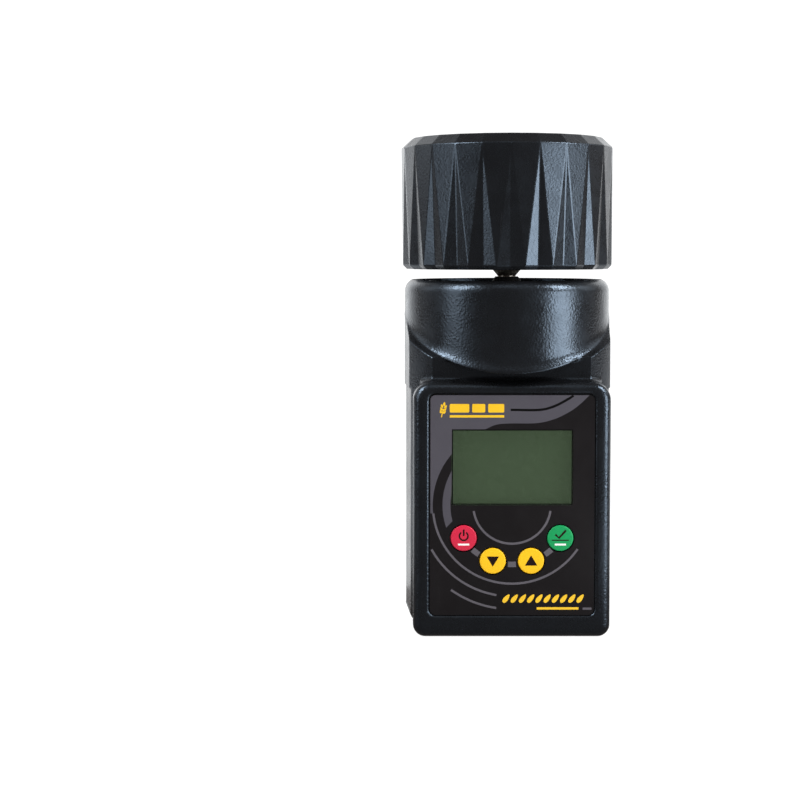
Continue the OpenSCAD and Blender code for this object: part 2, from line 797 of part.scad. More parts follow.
module pressure_plate() {
    color("#9fa3a6") difference() {
        union() {
            translate([0, 0, plate_z]) cylinder(r = plate_r, h = plate_t);
            for (a = [0:15:345]) rotate([0, 0, a])
                block([11, -0.7, plate_z - ridge_h], [plate_r - 1.5, 0.7, plate_z + 0.5]);
            for (s = [-1, 1]) block([s * plate_key_r - 1.6, -key_slot_w / 2 + 0.2, plate_z],
                                    [s * plate_key_r + 1.6, key_slot_w / 2 - 0.2, plate_z + plate_t]);
        }
        translate([0, 0, plate_z - 2]) cylinder(r = bush_r, h = 6);
    }
}

module plate_bush() {
    color("#b8974d") ring(spindle_r + run_fit, bush_r, plate_z, plate_z + plate_t - 0.1);
}

front_shell();
rear_shell();
keypad_overlay();
display_window();
lcd_frame();
lcd_glass();
key_esc();
key_down();
key_up();
key_ok();
key_switches();
main_board();
board_parts();
board_screws();
battery();
battery_clip();
battery_lead_red();
battery_lead_black();
battery_door();
door_hinge_pin();
housing_screws();
cell_base();
cell_gasket();
cell_cup();
anvil_disc();
cell_screws();
spindle_bush();
bush_washer();
bush_nut();
temperature_probe();
probe_lead();
cell_lead();
cap_knob();
cap_top_disc();
cap_base_plate();
cap_screws();
spindle();
spindle_pin();
spindle_boot();
thrust_washer();
plate_circlip();
pressure_plate();
plate_bush();
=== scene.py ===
"""Looks of a hand-held grain moisture meter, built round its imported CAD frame."""

import json
import math

import bpy
import numpy as np
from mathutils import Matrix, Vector


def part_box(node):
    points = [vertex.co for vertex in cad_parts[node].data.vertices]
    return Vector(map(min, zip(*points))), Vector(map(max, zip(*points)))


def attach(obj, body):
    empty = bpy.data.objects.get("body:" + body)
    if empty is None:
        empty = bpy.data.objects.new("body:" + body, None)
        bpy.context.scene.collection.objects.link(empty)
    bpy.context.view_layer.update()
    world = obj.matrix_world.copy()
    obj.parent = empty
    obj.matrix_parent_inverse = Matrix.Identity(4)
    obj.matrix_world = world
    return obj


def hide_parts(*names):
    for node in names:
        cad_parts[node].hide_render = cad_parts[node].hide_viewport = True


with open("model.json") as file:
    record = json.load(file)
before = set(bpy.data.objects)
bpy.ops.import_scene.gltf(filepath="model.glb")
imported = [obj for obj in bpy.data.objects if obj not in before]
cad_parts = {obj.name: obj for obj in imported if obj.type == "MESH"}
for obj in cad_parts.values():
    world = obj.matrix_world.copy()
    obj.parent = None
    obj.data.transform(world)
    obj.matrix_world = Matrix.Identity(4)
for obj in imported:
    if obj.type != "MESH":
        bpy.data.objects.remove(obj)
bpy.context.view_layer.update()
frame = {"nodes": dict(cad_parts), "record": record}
scene = bpy.context.scene

MM = 0.001


# ---------- measures, in millimetres, from the frame ----------

def box_mm(node):
    """Lowest and highest corner of a CAD node, in millimetres."""
    low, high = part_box(node)
    return np.array(low) / MM, np.array(high) / MM


SHELL_LOW, SHELL_HIGH = box_mm("front_shell")
OVERLAY_LOW, OVERLAY_HIGH = box_mm("keypad_overlay")
WINDOW_LOW, WINDOW_HIGH = box_mm("display_window")
KNOB_LOW, KNOB_HIGH = box_mm("cap_knob")
PLATE_LOW, PLATE_HIGH = box_mm("cap_base_plate")
CUP_LOW, CUP_HIGH = box_mm("cell_cup")
DOOR_LOW, DOOR_HIGH = box_mm("battery_door")
BASE_LOW, BASE_HIGH = box_mm("cell_base")

COLLAR_R = -SHELL_LOW[1]
COLLAR_TOP = SHELL_HIGH[2]
BODY_HALF = 36.3                # half width at the parting line
END_HALF = 34.1                 # half width across the front and back corners
NECK_Y = 29.0                   # neck face, in front of the cell's axis
BACK_Y = 33.0
FRONT_EDGE_R = 3.0
BACK_CORNER_R = 8.0
ROUND_CORNER_R = 39.6           # front corners, turned about the cell's axis
FOOT_R = 7.5
COLLAR_EDGE_R = 4.5
DRUM_INSET = 0.25               # how much slimmer the drum is than the front shell's reach
LIP_Z = 91.3
LIP_SLOPE = math.radians(28.3)
LIP_DROP = 1.0                  # how far the lip reaches below the body's shoulders
LIP_FLARE = 1.3                 # how far the collar's lower lip stands out
LIP_EDGE_R = 1.3
FLARE_FADE = 1.3                # how fast the flare goes towards the sides
RIDGE_R = 3                     # rounding of the shoulders' ridge
CORE_GAP = 3                    # the core is this much inside the neck face
CORE_HALF = 12
BEAD_RISE = 0.6                 # widest place of the lip's bead, above its edge
BEAD_WIDTH = 1.7
CREASE_R = 0.7                  # where the collar meets the body
PANEL_HALF = 33.6
PANEL_TOP = 87.3
PANEL_Y = 34.4
PANEL_EDGE_R = 3.2
PANEL_TOP_R = 6.4               # round corners of the panel's outline
PANEL_LOW_R = 4.2
LEDGE_FILLET = 1.8              # above the panel
SIDE_FILLET = 0.8               # beside it
GRIP_DEPTH = 0.5                # shallow flats in the sides
GRIP_Z = 44.8
GRIP_HALF = (24, 39.2)          # half length and half height
GRIP_CORNER_R = 2.5
RECESS_Y = OVERLAY_HIGH[1]      # floor of the overlay's recess
FACE_Y = OVERLAY_LOW[1]         # printed face of the overlay
RECESS_GAP = 0.15               # between the overlay and its recess
RECESS_CORNER_R = 2.1
RECESS_EDGE_R = 1.1
BORE_R = CUP_HIGH[0] + 0.3
DISPLAY_X = (-20.1, 20.1)       # visible part of the window, inside a dark line of painted shade
DISPLAY_Z = (46.0, 70.9)
FIELD_R = 26.9                  # arc that ends the label's grey field
CRESCENT_R = (20.9, 23.6)       # grey band between the display and the red key
DECK_Z = BASE_LOW[2]
DECK_T = 3.5
WALL = 2.4
KEY_R = 4.4
KEY_GAP = 0.4
BAY_HALF = 14.5                 # battery bay: half width, front face, floor and roof, walls
BAY_Y = 9
BAY_Z = (11.4, 68)
BAY_WALL = 1.6
DOOR_T = 2.4
SCREW_X = 28.6                  # screws that join the shells
SCREW_Z = (9, 78)
SINK_R = 3.1
SINK_Y = 11.8
FAR = 50                        # outside the housing, whichever way
FRONT_ROOM_Y = -25              # behind the front wall, where its openings end
ARC_Z = 45.45                   # height of the printed arcs' centre


# ---------- solids from distance formulas ----------

def round_max(a, b, r):
    """Where both are inside, with the edge rounded."""
    return np.minimum(-r, np.maximum(a, b)) + np.hypot(np.maximum(a + r, 0), np.maximum(b + r, 0))


def round_min(a, b, r):
    """Where either is inside, with the corner filled."""
    return np.maximum(r, np.minimum(a, b)) - np.hypot(np.maximum(r - a, 0), np.maximum(r - b, 0))


def rectangle(u, v, half_u, half_v, r):
    """Distance to a rectangle with round corners."""
    qu = np.abs(u) - half_u + r
    qv = np.abs(v) - half_v + r
    return np.hypot(np.maximum(qu, 0), np.maximum(qv, 0)) + np.minimum(np.maximum(qu, qv), 0) - r


def block(x, y, z, low, high):
    """Distance-like value for a sharp box."""
    centre = (np.array(low) + np.array(high)) / 2
    half = (np.array(high) - np.array(low)) / 2
    sides = [np.abs(p - c) - h for p, c, h in zip((x, y, z), centre, half)]
    return np.maximum(np.maximum(sides[0], sides[1]), sides[2])


def side_wall(x, y):
    """Distance outside the straight sides, which draw in to front and back."""
    reach = np.where(y < 0, NECK_Y, BACK_Y)
    lean = math.atan((BODY_HALF - END_HALF) / NECK_Y)
    return (np.abs(x) - BODY_HALF + (BODY_HALF - END_HALF) * np.abs(y) / reach) * math.cos(lean)


def shoulder(y, z):
    """Distance above the two slopes that fall from the parting line."""
    ridge = LIP_Z + math.tan(LIP_SLOPE) * COLLAR_R
    return (z - ridge + math.tan(LIP_SLOPE) * np.sqrt(y * y + RIDGE_R ** 2)) * math.cos(LIP_SLOPE)


def body_block(x, y, z):
    """The upright block, its front corners turned about the cell's axis."""
    ends = np.maximum(-NECK_Y - y, y - BACK_Y)
    plan = round_max(side_wall(x, y), ends, np.where(y < 0, FRONT_EDGE_R, BACK_CORNER_R))
    plan = np.maximum(plan, np.where(y < 0, np.hypot(x, y) - ROUND_CORNER_R, plan))
    plan = np.maximum(plan, shoulder(y, z))
    return round_max(plan, -z, FOOT_R)


def collar(x, y, z):
    """The drum round the cell, with a soft bead along its slanting lower lip."""
    above_lip = shoulder(y, z) + LIP_DROP
    ahead = np.clip(np.abs(y) / COLLAR_R, 0, 1) ** FLARE_FADE
    flare = LIP_FLARE * ahead * np.exp(-((above_lip - BEAD_RISE) / BEAD_WIDTH) ** 2)
    drum = round_max(np.hypot(x, y) - COLLAR_R + DRUM_INSET - flare, z - COLLAR_TOP, COLLAR_EDGE_R)
    return round_max(drum, -above_lip, LIP_EDGE_R)


def panel(x, y, z):
    """The raised panel on the front, as deep as the neck face and a little more."""
    middle = PANEL_TOP / 2
    corner = np.where(z > middle, PANEL_TOP_R, PANEL_LOW_R)
    outline = rectangle(x, z - middle, PANEL_HALF, middle, corner)
    return np.maximum(round_max(outline, -PANEL_Y - y, PANEL_EDGE_R), y + NECK_Y - 3)


def grip_flats(x, y, z):
    """The shallow pockets in both sides."""
    outline = rectangle(y, z - GRIP_Z, *GRIP_HALF, GRIP_CORNER_R)
    return np.maximum(-side_wall(x, y) - GRIP_DEPTH, outline)


def overlay_recess(x, y, z):
    middle = (OVERLAY_LOW[2] + OVERLAY_HIGH[2]) / 2
    half = (OVERLAY_HIGH[2] - OVERLAY_LOW[2]) / 2 + RECESS_GAP
    outline = rectangle(x, z - middle, OVERLAY_HIGH[0] + RECESS_GAP, half, RECESS_CORNER_R)
    return np.maximum(outline, y - RECESS_Y)


def housing(x, y, z):
    """Both shells as one solid, without the openings and the hollow."""
    solid = round_min(body_block(x, y, z), collar(x, y, z), CREASE_R)
    core = np.maximum(np.hypot(x, y) - NECK_Y + CORE_GAP, np.abs(z - DECK_Z) - CORE_HALF)
    solid = np.minimum(solid, core)     # joins the drum to the block inside
    fillet = np.where(z > PANEL_TOP - 2, LEDGE_FILLET, SIDE_FILLET)
    solid = round_min(solid, panel(x, y, z), fillet)
    solid = round_max(solid, -grip_flats(x, y, z), 0.3)
    return round_max(solid, -overlay_recess(x, y, z), RECESS_EDGE_R)


def bore(x, y, z):
    """The cell's well, open upwards."""
    return np.maximum(np.hypot(x, y) - BORE_R, DECK_Z - z)


def inside(x, y, z):
    """The hollow below the deck, in the block and in the panel, round the battery bay's walls."""
    plan = round_max(side_wall(x, y) + WALL, np.maximum(-NECK_Y - y, y - BACK_Y) + WALL, 5.5)
    room = round_max(plan, WALL - z, 5.0)
    room = np.maximum(np.maximum(room, z - DECK_Z + DECK_T), shoulder(y, z) + WALL * 1.1)
    room = np.maximum(room, np.hypot(x, y) - ROUND_CORNER_R + WALL * 1.4)
    half = PANEL_HALF - WALL
    front = block(x, y, z, (-half, RECESS_Y + 2, WALL), (half, -NECK_Y + WALL + 1, PANEL_TOP - WALL))
    room = np.minimum(room, front)
    half = BAY_HALF + BAY_WALL
    bay = block(x, y, z, (-half, BAY_Y - BAY_WALL, BAY_Z[0] - BAY_WALL), (half, FAR, BAY_Z[1] + BAY_WALL))
    door_frame = block(x, y, z, (-18.6, BACK_Y - 5, 6), (18.6, FAR, 71.6))
    return np.maximum(room, -np.minimum(bay, door_frame))


def back_cuts():
    """Openings in the back, each as a distance formula."""
    door_half = DOOR_HIGH[0] + 0.2
    hinge_z = DOOR_LOW[2] + 1.6

    def door(x, y, z):
        low = (-door_half, BACK_Y - DOOR_T, hinge_z - 1.9)
        return block(x, y, z, low, (door_half, FAR, DOOR_HIGH[2] + 0.2))

    def bay(x, y, z):
        return block(x, y, z, (-BAY_HALF, BAY_Y, BAY_Z[0]), (BAY_HALF, FAR, BAY_Z[1]))

    def notch(x, y, z):
        return block(x, y, z, (-6, BACK_Y - 1.6, BAY_Z[1]), (6, FAR, DOOR_HIGH[2] + 4))

    def sink(cx, cz):
        return lambda x, y, z: np.maximum(np.hypot(x - cx, z - cz) - SINK_R, SINK_Y - y)

    return [door, bay, notch] + [sink(cx, cz) for cx in (-SCREW_X, SCREW_X) for cz in SCREW_Z]


def front_cuts():
    """Openings behind the overlay, each as a distance formula."""
    def window(x, y, z):
        return block(x, y, z, (WINDOW_LOW[0] - 0.1, -FAR, WINDOW_LOW[2] - 0.1),
                     (WINDOW_HIGH[0] + 0.1, FRONT_ROOM_Y, WINDOW_HIGH[2] + 0.1))

    def key_hole(node):
        low, high = box_mm(node)
        middle = (low + high) / 2
        hole_r = KEY_R + KEY_GAP
        return lambda x, y, z: np.maximum(np.hypot(x - middle[0], z - middle[2]) - hole_r,
                                          y - FRONT_ROOM_Y)

    return [window] + [key_hole(n) for n in ("key_esc", "key_down", "key_up", "key_ok")]


def gradient(field, points, step=0.02):
    """How a distance formula changes along x, y and z at each point."""
    columns = []
    for axis in range(3):
        shift = np.zeros(3)
        shift[axis] = step
        columns.append((field(*(points + shift).T) - field(*(points - shift).T)) / (2 * step))
    return np.stack(columns, 1)


def pull_to(points, fields, rounds=4, reach=0.5):
    """Moves points the shortest way to where all the fields are zero."""
    start = points.copy()
    for _ in range(rounds):
        values = np.stack([f(*points.T) for f in fields], 1)
        slopes = np.stack([gradient(f, points) for f in fields], 1)
        gram = slopes @ slopes.transpose(0, 2, 1) + 1e-6 * np.eye(len(fields))
        pulls = np.linalg.solve(gram, values[:, :, None])
        points = points - (slopes.transpose(0, 2, 1) @ pulls)[:, :, 0]
        away = points - start
        far = np.linalg.norm(away, axis=1, keepdims=True)
        points = start + away * np.minimum(1, reach / np.maximum(far, 1e-9))
    return points


def steps(*stretches):
    """Grid lines along one axis from stretches of (start, end, spacing)."""
    lines = [np.linspace(a, b, max(2, int(round((b - a) / gap)) + 1))[:-1] for a, b, gap in stretches]
    return np.concatenate(lines + [[stretches[-1][1]]])


CORNERS = [(i, j, k) for i in (0, 1) for j in (0, 1) for k in (0, 1)]


def crossed_cells(solid):
    """Grid cells with corners both inside and outside, and the grid of their numbers."""
    shape = np.array(solid.shape) - 1
    window = lambda c: solid[c[0]:c[0] + shape[0], c[1]:c[1] + shape[1], c[2]:c[2] + shape[2]]
    count = sum(window(c).astype(int) for c in CORNERS)
    cells = np.argwhere((count > 0) & (count < 8))
    number = np.full(shape, -1)
    number[tuple(cells.T)] = np.arange(len(cells))
    return cells, number


def mean_crossings(value, lines, cells):
    """For each cell, the mean of the places where its edges cross the surface."""
    total = np.zeros((len(cells), 3))
    hits = np.zeros(len(cells))
    for a in CORNERS:
        for axis in range(3):
            if a[axis]:
                continue
            b = tuple(v + (n == axis) for n, v in enumerate(a))
            ia, ib = cells + a, cells + b
            va, vb = value[tuple(ia.T)], value[tuple(ib.T)]
            crossed = (va < 0) != (vb < 0)
            share = np.where(crossed, va / np.where(crossed, va - vb, 1), 0)[:, None]
            pa = np.stack([lines[n][ia[:, n]] for n in range(3)], 1)
            pb = np.stack([lines[n][ib[:, n]] for n in range(3)], 1)
            total += np.where(crossed[:, None], pa + (pb - pa) * share, 0)
            hits += crossed
    return total / hits[:, None]


def net_faces(solid, number):
    """A quad through the four cells round each grid edge that the surface crosses."""
    faces = []
    for axis in range(3):
        u, v = [n for n in range(3) if n != axis]
        low = [slice(None)] * 3
        high = [slice(None)] * 3
        low[axis], high[axis] = slice(0, -1), slice(1, None)
        for n in (u, v):
            low[n] = high[n] = slice(1, -1)
        sa, sb = solid[tuple(low)], solid[tuple(high)]
        for inward in (True, False):
            at = np.argwhere((sa == inward) & (sb != inward))
            at[:, u] += 1
            at[:, v] += 1
            ring = []
            for du, dv in ((-1, -1), (0, -1), (0, 0), (-1, 0)):
                cell = at.copy()
                cell[:, u] += du
                cell[:, v] += dv
                ring.append(number[tuple(cell.T)])
            quad = np.stack(ring, 1)
            forward = inward if axis != 1 else not inward
            faces.append(quad if forward else quad[:, ::-1])
    return np.concatenate(faces)


def surface(base, cuts, xs, ys, zs):
    """Mesh of base with cuts taken out, by surface nets, with its edges along the cuts kept sharp."""
    lines = (xs, ys, zs)
    grid = np.meshgrid(*lines, indexing="ij")
    value = base(*grid)
    for cut in cuts:
        value = np.maximum(value, -cut(*grid))
    cells, number = crossed_cells(value < 0)
    points = mean_crossings(value, lines, cells)
    size = np.stack([np.diff(lines[n])[cells[:, n]] for n in range(3)], 1).max(1)
    everything = lambda x, y, z: np.max([base(x, y, z)] + [-cut(x, y, z) for cut in cuts], axis=0)
    points = pull_to(points, [everything])
    for cut in cuts:
        near = (np.abs(base(*points.T)) < 0.6 * size) & (np.abs(cut(*points.T)) < 0.6 * size)
        if near.any():
            points[near] = pull_to(points[near], [base, cut], reach=0.8)
    return points, net_faces(value < 0, number)


# ---------- making pieces ----------

def piece(name, points, faces, body, material, replaces=(), sharp=math.radians(38)):
    """A mesh object from points in millimetres, riding on a CAD body."""
    mesh = bpy.data.meshes.new(name)
    mesh.from_pydata((np.asarray(points, float) * MM).tolist(), [], [list(map(int, f)) for f in faces])
    mesh.validate()
    mesh.polygons.foreach_set("use_smooth", [True] * len(mesh.polygons))
    mesh.set_sharp_from_angle(angle=sharp)
    mesh.update()
    made = bpy.data.objects.new(name, mesh)
    scene.collection.objects.link(made)
    mesh.materials.append(material)
    if body is None:
        return made
    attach(made, body)
    if replaces:
        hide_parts(*replaces)
    return made


def smooth_corners(corners, n=5):
    """Open line through (u, v, r) corners, each cut by a curve of about that radius."""
    line = []
    for i, (u, v, r) in enumerate(corners):
        if r == 0 or i in (0, len(corners) - 1):
            line.append((u, v))
            continue
        here = Vector((u, v))
        back = Vector(corners[i - 1][:2]) - here
        on = Vector(corners[i + 1][:2]) - here
        a = here + back.normalized() * min(r, back.length * 0.49)
        b = here + on.normalized() * min(r, on.length * 0.49)
        for k in range(n + 1):
            t = k / n
            line.append(tuple(a * (1 - t) ** 2 + here * 2 * t * (1 - t) + b * t * t))
    return line


def lathe(profile, n):
    """Points and faces of (radius, height) turned about Z. Ends on the axis are closed by a fan."""
    points, rings = [], []
    for r, z in profile:
        if r < 1e-6:
            rings.append([len(points)])
            points.append((0, 0, z))
            continue
        rings.append(list(range(len(points), len(points) + n)))
        points += [(r * math.cos(a), r * math.sin(a), z) for a in np.linspace(0, math.tau, n, endpoint=False)]
    faces = []
    for low, high in zip(rings, rings[1:]):
        for k in range(n):
            m = (k + 1) % n
            ring = [low[k % len(low)], low[m % len(low)], high[m % len(high)], high[k % len(high)]]
            ring = list(dict.fromkeys(ring))
            if len(ring) > 2:
                faces.append(ring)
    return np.array(points), faces


def facing_front(points, x, z):
    """Turns a lathe's +Z to -Y and moves its axis to x, z. Heights become -y."""
    p = np.asarray(points)
    return np.stack([p[:, 0] + x, -p[:, 2], p[:, 1] + z], 1)


def joined(parts):
    """Several (points, faces) as one."""
    points, faces, start = [], [], 0
    for p, f in parts:
        points.append(np.asarray(p))
        faces += [[v + start for v in face] for face in f]
        start += len(p)
    return np.concatenate(points), faces


def soft_edges(obj, width, angle):
    """Rounds a piece's edges with modifiers; width in millimetres, angle in degrees."""
    weld = obj.modifiers.new("weld", "WELD")
    weld.merge_threshold = 1e-6
    bevel = obj.modifiers.new("edges", "BEVEL")
    bevel.width = width * MM
    bevel.segments = 2
    bevel.limit_method = "ANGLE"
    bevel.angle_limit = math.radians(angle)
    normals = obj.modifiers.new("normals", "WEIGHTED_NORMAL")
    normals.keep_sharp = True


# ---------- finishes ----------

def add(tree, kind, **values):
    """A node with its properties and inputs set, or linked where the value is a socket."""
    node = tree.nodes.new(kind)
    for name, value in values.items():
        if hasattr(node, name):
            setattr(node, name, value)
            continue
        socket = node.inputs[name.replace("_", " ")]
        if isinstance(value, bpy.types.NodeSocket):
            tree.links.new(value, socket)
        else:
            socket.default_value = value
    return node


def noise(tree, place, scale, detail=3.0, roughness=0.55):
    made = add(tree, "ShaderNodeTexNoise", Vector=place, Scale=scale, Detail=detail, Roughness=roughness)
    return made.outputs["Fac"]


def remap(tree, value, low, high, to_low, to_high):
    made = add(tree, "ShaderNodeMapRange", Value=value)
    made.inputs["From Min"].default_value = low
    made.inputs["From Max"].default_value = high
    made.inputs["To Min"].default_value = to_low
    made.inputs["To Max"].default_value = to_high
    return made.outputs["Result"]


def stretched(tree, place, factors):
    made = add(tree, "ShaderNodeMapping", Vector=place)
    made.inputs["Scale"].default_value = factors
    return made.outputs["Vector"]


def finish(name, colour, rough, metal=0.0, specular=0.5, grain=1600, depth=0.02, pebbled=False,
           spread=0.15, rough_spread=0.06, wear=0.15, brushed=None, coat=0.0, alpha=1.0, tint=None):
    """A material with grain, patchy colour and roughness, fine scratches and faint handling marks."""
    made = bpy.data.materials.new(name)
    made.use_nodes = True
    tree = made.node_tree
    tree.nodes.clear()
    shader = add(tree, "ShaderNodeBsdfPrincipled", Metallic=metal, Alpha=alpha)
    shader.inputs["Specular IOR Level"].default_value = specular
    shader.inputs["Coat Weight"].default_value = coat
    shader.inputs["Coat Roughness"].default_value = 0.12
    if tint:
        shader.inputs["Specular Tint"].default_value = (*tint, 1)
    out = add(tree, "ShaderNodeOutputMaterial")
    tree.links.new(shader.outputs["BSDF"], out.inputs["Surface"])
    place = add(tree, "ShaderNodeTexCoord").outputs["Object"]
    patches = noise(tree, place, 60, 4)
    fine = noise(tree, stretched(tree, place, brushed) if brushed else place, grain, 2)
    scratch = noise(tree, stretched(tree, place, (900, 900, 60)), 1.0, 3, 0.7)
    marks = remap(tree, scratch, 0.66, 0.72, 0, 1)
    shade = remap(tree, patches, 0.25, 0.75, 1 - spread, 1 + spread)
    lift = add(tree, "ShaderNodeMath", operation="MULTIPLY_ADD")
    tree.links.new(marks, lift.inputs[0])
    lift.inputs[1].default_value = wear
    tree.links.new(shade, lift.inputs[2])
    tone = add(tree, "ShaderNodeVectorMath", operation="SCALE")
    tone.inputs[0].default_value = colour
    tree.links.new(lift.outputs[0], tone.inputs["Scale"])
    tree.links.new(tone.outputs[0], shader.inputs["Base Color"])
    smears = noise(tree, place, 140, 5, 0.65)
    gloss = remap(tree, smears, 0.3, 0.7, rough - rough_spread, rough + rough_spread)
    tree.links.new(gloss, shader.inputs["Roughness"])
    height = fine
    if pebbled:
        cells = add(tree, "ShaderNodeTexVoronoi", Vector=place, Scale=grain, feature="SMOOTH_F1")
        height = cells.outputs["Distance"]
    bump = add(tree, "ShaderNodeBump", Height=height, Strength=0.6, Distance=depth * MM)
    waves = add(tree, "ShaderNodeBump", Height=noise(tree, place, 22, 2), Strength=0.3, Distance=0.25 * MM)
    tree.links.new(bump.outputs["Normal"], waves.inputs["Normal"])
    tree.links.new(waves.outputs["Normal"], shader.inputs["Normal"])
    return made


COOL_SHEEN = (0.62, 0.79, 1.0)
KEY = dict(rough=0.38, specular=0.25, grain=1500, depth=0.008)
WIRE = dict(rough=0.4, grain=1500, depth=0.006)
PRINT = dict(rough=0.42, grain=2600, depth=0.006)
METAL = dict(metal=1.0, depth=0.004)
FINISHES = {
    "black_plastic": dict(colour=(0.0045, 0.0045, 0.0050), rough=0.28, specular=0.6, tint=COOL_SHEEN,
                          grain=1500, depth=0.11, pebbled=True, wear=0.5, spread=0.12),
    "knob_plastic": dict(colour=(0.0050, 0.0050, 0.0056), rough=0.27, specular=0.6, tint=COOL_SHEEN,
                         grain=1300, depth=0.10, wear=0.8),
    "overlay_print": dict(colour=(0.0072, 0.0062, 0.0070), rough=0.34, specular=0.25, grain=2600,
                          depth=0.006, wear=0.2),
    "window": dict(colour=(0.051, 0.077, 0.043), rough=0.16, grain=900, depth=0.002, alpha=0.45,
                   spread=0.02, wear=0.02),
    "lcd_glass": dict(colour=(0.114, 0.174, 0.098), rough=0.28, grain=900, depth=0.002, spread=0.02,
                      wear=0.0),
    "moulding": dict(colour=(0.012, 0.012, 0.013), rough=0.45, grain=1700, depth=0.02),
    "red_key": dict(KEY, colour=(0.52, 0.016, 0.048), spread=0.05, wear=0.08),
    "yellow_key": dict(KEY, colour=(0.78, 0.44, 0.008), spread=0.04, wear=0.05),
    "green_key": dict(KEY, colour=(0.006, 0.26, 0.078), spread=0.05, wear=0.08),
    "board": dict(colour=(0.012, 0.075, 0.030), rough=0.35, grain=900, depth=0.01, coat=0.3),
    "components": dict(colour=(0.03, 0.03, 0.032), rough=0.4, grain=1400, depth=0.01),
    "battery_case": dict(colour=(0.20, 0.13, 0.035), rough=0.3, metal=0.6, grain=1200, depth=0.006,
                         coat=0.3),
    "steel": dict(METAL, colour=(0.55, 0.55, 0.54), rough=0.28, grain=1, brushed=(1600, 1600, 120)),
    "spindle_steel": dict(METAL, colour=(0.34, 0.31, 0.27), rough=0.42, grain=1,
                          brushed=(200, 200, 3000)),
    "spring_steel": dict(METAL, colour=(0.16, 0.16, 0.17), rough=0.33, grain=1400),
    "ground_steel": dict(colour=(0.52, 0.53, 0.53), rough=0.32, metal=1.0, grain=1,
                         brushed=(140, 2200, 300), depth=0.005),
    "aluminium": dict(METAL, colour=(0.70, 0.70, 0.69), rough=0.34, grain=1, brushed=(160, 160, 2600)),
    "brass": dict(METAL, colour=(0.62, 0.42, 0.14), rough=0.28, grain=1200),
    "rubber": dict(colour=(0.012, 0.012, 0.012), rough=0.7, grain=900, depth=0.02),
    "black_rubber": dict(colour=(0.008, 0.008, 0.008), rough=0.6, grain=900, depth=0.02),
    "insulator": dict(colour=(0.42, 0.36, 0.25), rough=0.45, grain=900, depth=0.01),
    "red_wire": dict(WIRE, colour=(0.42, 0.010, 0.010)),
    "black_wire": dict(WIRE, colour=(0.012, 0.012, 0.012)),
    "white_wire": dict(WIRE, colour=(0.62, 0.61, 0.58)),
    "blue_wire": dict(WIRE, colour=(0.012, 0.06, 0.32)),
    "print_grey": dict(PRINT, colour=(0.057, 0.053, 0.066), spread=0.05, wear=0.05),
    "print_line": dict(PRINT, colour=(0.084, 0.077, 0.090), spread=0.05, wear=0.05),
    "print_yellow": dict(PRINT, colour=(0.74, 0.44, 0.010), spread=0.04, wear=0.02),
    "print_white": dict(PRINT, colour=(0.80, 0.79, 0.76), spread=0.04, wear=0.02),
    "print_brown": dict(PRINT, colour=(0.012, 0.004, 0.003), specular=0.2, spread=0.04, wear=0.02),
    # black print, also used for the painted shade round the display
    "black_print_and_shade": dict(PRINT, colour=(0.002, 0.002, 0.002), specular=0.1, spread=0.04, wear=0.02),
}
LOOK = {name: finish(name, **facts) for name, facts in FINISHES.items()}


def finish_cad_nodes():
    """Every CAD node takes the finish of its own slot."""
    for part in frame["record"]["subparts"]:
        mesh = frame["nodes"][part["node"]].data
        mesh.materials.clear()
        mesh.materials.append(LOOK[part["material_slot"]])


# ---------- housing ----------

def build_housing():
    """Front and rear shell, on a grid that is finer round the collar's lip and the edges."""
    xs = steps((-37.4, -29.8, 0.42), (-29.8, 29.8, 0.6), (29.8, 37.4, 0.42))
    top = COLLAR_TOP + 1.1
    zs = steps((-0.8, 9, 0.45), (9, 84, 0.9), (84, 106, 0.33), (106, top - 7, 0.8), (top - 7, top, 0.38))
    front_ys = steps((-38.1, -25.6, 0.4), (-25.6, 0.7, 0.75))
    rear_ys = steps((-0.7, 25, 0.75), (25, 38.0, 0.42))
    behind = lambda x, y, z: -0.1 - y
    ahead = lambda x, y, z: y - 0.1
    points, faces = surface(housing, [behind, bore, inside] + front_cuts(), xs, front_ys, zs)
    piece("shell_front", points, faces, "housing", LOOK["black_plastic"], ["front_shell"])
    points, faces = surface(housing, [ahead, bore, inside] + back_cuts(), xs, rear_ys, zs)
    piece("shell_rear", points, faces, "housing", LOOK["black_plastic"], ["rear_shell"])


# ---------- cap ----------

FLUTES = 24
KNOB_R = 37.5
FLUTE_DEPTH = 1.7
KNOB_TURN = math.radians(-1.4)  # how the cap happens to stand in the photo
BEVEL_W = 3.7
BEVEL_H = 3.4
FOOT_BEVEL = 1.4
WALL_R = PLATE_HIGH[0]
DISC_R = 23.0
DISC_T = 0.9
BOSS_R = 9.5
SPINDLE_R = 3.2
CROWN_T = 3.2                   # thickness of the cap's top
SOFT_EDGE = 0.28


